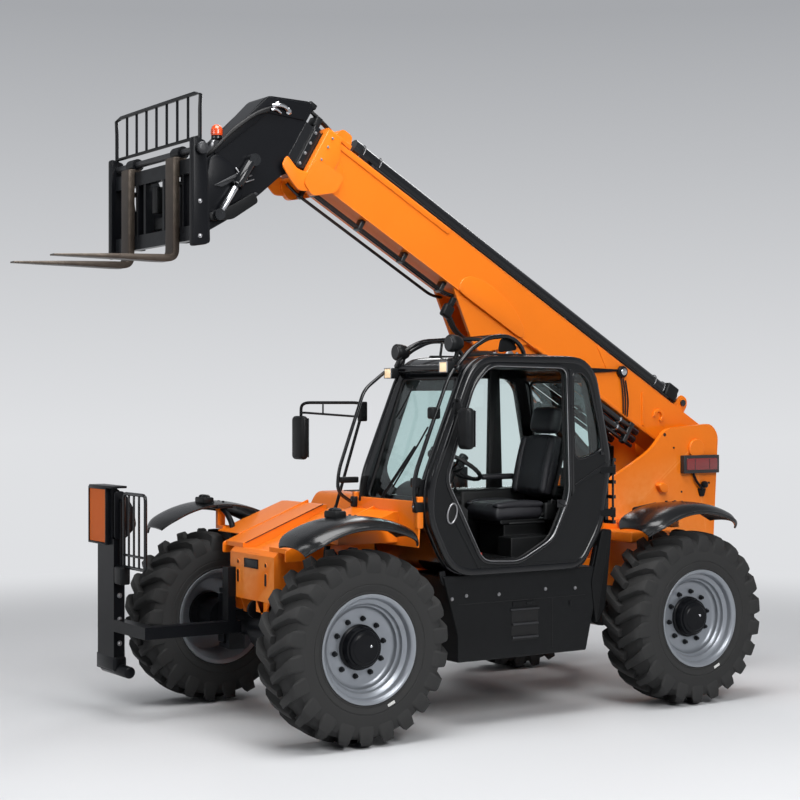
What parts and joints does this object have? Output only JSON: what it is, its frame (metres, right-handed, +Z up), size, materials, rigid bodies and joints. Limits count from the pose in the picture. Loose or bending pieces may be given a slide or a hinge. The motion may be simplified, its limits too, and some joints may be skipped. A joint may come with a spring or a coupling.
{
  "type": "telehandler",
  "caption": "Telescopic handler with a raised boom, a fork carriage, an open-doored side cab and large steered wheels.",
  "frame": {"origin": "on the floor, under the middle of the overall box", "axes": "+Z up, the machine faces -Y, its left side with the cab is +X"},
  "size_m": [2.379, 5.4082, 4.0936],
  "materials": {
    "orange_paint": "glossy orange enamel over plate",
    "black_paint": "satin black enamel",
    "black_plastic": "grained black moulding",
    "silver_rim": "silver grey enamel",
    "tyre_rubber": "matt black rubber",
    "clear_glass": "lightly tinted safety glass",
    "seat_leather": "black grained leather",
    "chrome_rod": "polished chrome",
    "fork_steel": "worn forged steel",
    "lamp_red": "red lens"
  },
  "bodies": {
    "chassis": {"boom_pivot_pin": "black_paint", "cab_frame": "black_paint", "cab_roof": "black_paint", "cab_side_right": "black_paint", "chassis_frame": "orange_paint", "dashboard": "black_plastic", "engine_block": "black_paint", "engine_cover": "orange_paint", "fender_front_left": "black_plastic", "fender_front_right": "black_plastic", "fender_rear_left": "black_plastic", "fender_rear_right": "black_plastic", "front_axle": "black_paint", "guard_plate": "orange_paint", "guard_post": "black_paint", "hood_left": "orange_paint", "hood_right": "orange_paint", "mirror_right": "black_plastic", "rear_axle": "black_paint", "rear_window": "clear_glass", "seat_backrest": "seat_leather", "seat_base": "black_paint", "seat_cushion": "seat_leather", "steering_column": "black_paint", "step_box": "black_plastic", "tail_lamp_left": "lamp_red", "tail_lamp_right": "lamp_red", "window_right": "clear_glass", "windscreen": "clear_glass"},
    "knuckle_front_left": {"knuckle_front_left": "black_paint"},
    "wheel_front_left": {"tyre_front_left": "tyre_rubber", "rim_front_left": "silver_rim"},
    "knuckle_front_right": {"knuckle_front_right": "black_paint"},
    "wheel_front_right": {"tyre_front_right": "tyre_rubber", "rim_front_right": "silver_rim"},
    "knuckle_rear_left": {"knuckle_rear_left": "black_paint"},
    "wheel_rear_left": {"tyre_rear_left": "tyre_rubber", "rim_rear_left": "silver_rim"},
    "knuckle_rear_right": {"knuckle_rear_right": "black_paint"},
    "wheel_rear_right": {"tyre_rear_right": "tyre_rubber", "rim_rear_right": "silver_rim"},
    "door": {"door": "black_plastic", "door_quarter_glass": "clear_glass", "mirror_left": "black_plastic"},
    "boom": {"boom_outer": "orange_paint", "boom_top_cylinder": "black_paint", "boom_under_pipes": "black_paint"},
    "boom_slide": {"boom_inner": "black_paint", "boom_head": "black_paint"},
    "carriage": {"carriage_frame": "black_paint", "fork_shaft": "chrome_rod", "backrest_guard": "black_paint", "fork_left": "fork_steel", "fork_right": "fork_steel"},
    "lift_barrel": {"lift_cylinder_barrel": "black_paint"},
    "lift_rod": {"lift_cylinder_rod": "chrome_rod"}
  },
  "joints": [
    {"name": "steer_front_left", "type": "hinge", "parent": "chassis", "child": "knuckle_front_left", "pos_m": [0.6765, -1.00408, 0.6], "axis": [0, 0, 1], "range_deg": [-28, 28]},
    {"name": "steer_front_right", "type": "hinge", "parent": "chassis", "child": "knuckle_front_right", "pos_m": [-0.7235, -1.00408, 0.6], "axis": [0, 0, 1], "range_deg": [-28, 28]},
    {"name": "steer_rear_left", "type": "hinge", "parent": "chassis", "child": "knuckle_rear_left", "pos_m": [0.6765, 1.69592, 0.6], "axis": [0, 0, 1], "range_deg": [-28, 28]},
    {"name": "steer_rear_right", "type": "hinge", "parent": "chassis", "child": "knuckle_rear_right", "pos_m": [-0.7235, 1.69592, 0.6], "axis": [0, 0, 1], "range_deg": [-28, 28]},
    {"name": "spin_front_left", "type": "hinge", "parent": "knuckle_front_left", "child": "wheel_front_left", "pos_m": [0.9385, -1.00408, 0.6], "axis": [1, 0, 0], "continuous": true},
    {"name": "spin_front_right", "type": "hinge", "parent": "knuckle_front_right", "child": "wheel_front_right", "pos_m": [-0.9855, -1.00408, 0.6], "axis": [1, 0, 0], "continuous": true},
    {"name": "spin_rear_left", "type": "hinge", "parent": "knuckle_rear_left", "child": "wheel_rear_left", "pos_m": [0.9385, 1.69592, 0.6], "axis": [1, 0, 0], "continuous": true},
    {"name": "spin_rear_right", "type": "hinge", "parent": "knuckle_rear_right", "child": "wheel_rear_right", "pos_m": [-0.9855, 1.69592, 0.6], "axis": [1, 0, 0], "continuous": true},
    {"name": "door_hinge", "type": "hinge", "parent": "chassis", "child": "door", "pos_m": [0.9795, 1.03592, 1.5], "axis": [0, 0, 1], "range_deg": [0, 80]},
    {"name": "boom_lift", "type": "hinge", "parent": "chassis", "child": "boom", "pos_m": [-0.0235, 2.44592, 1.74], "axis": [-1, 0, 0], "range_deg": [-33.5, 39.5]},
    {"name": "boom_extend", "type": "slide", "parent": "boom", "child": "boom_slide", "axis": [0, -0.8616, 0.5075], "range_m": [0, 2.6]},
    {"name": "carriage_tilt", "type": "hinge", "parent": "boom_slide", "child": "carriage", "pos_m": [-0.0235, -1.70408, 3.25], "axis": [1, 0, 0], "range_deg": [-34, 85]},
    {"name": "lift_barrel_swing", "type": "hinge", "parent": "chassis", "child": "lift_barrel", "pos_m": [-0.0235, 2.24292, 1.116], "axis": [-1, 0, 0], "range_deg": [-28.59, 33.7]},
    {"name": "lift_rod_slide", "type": "slide", "parent": "lift_barrel", "child": "lift_rod", "axis": [0, -0.7334, 0.6798], "range_m": [-0.32799, 0.38672]}
  ],
  "couplings": [
    {"joint": "steer_front_right", "follows": "steer_front_left", "ratio": 1},
    {"joint": "steer_rear_left", "follows": "steer_front_left", "ratio": -1},
    {"joint": "steer_rear_right", "follows": "steer_front_left", "ratio": -1},
    {"joint": "lift_barrel_swing", "follows": "boom_lift", "ratio": 0.853},
    {"joint": "lift_rod_slide", "follows": "boom_lift", "m_per_rad": 0.5608}
  ]
}
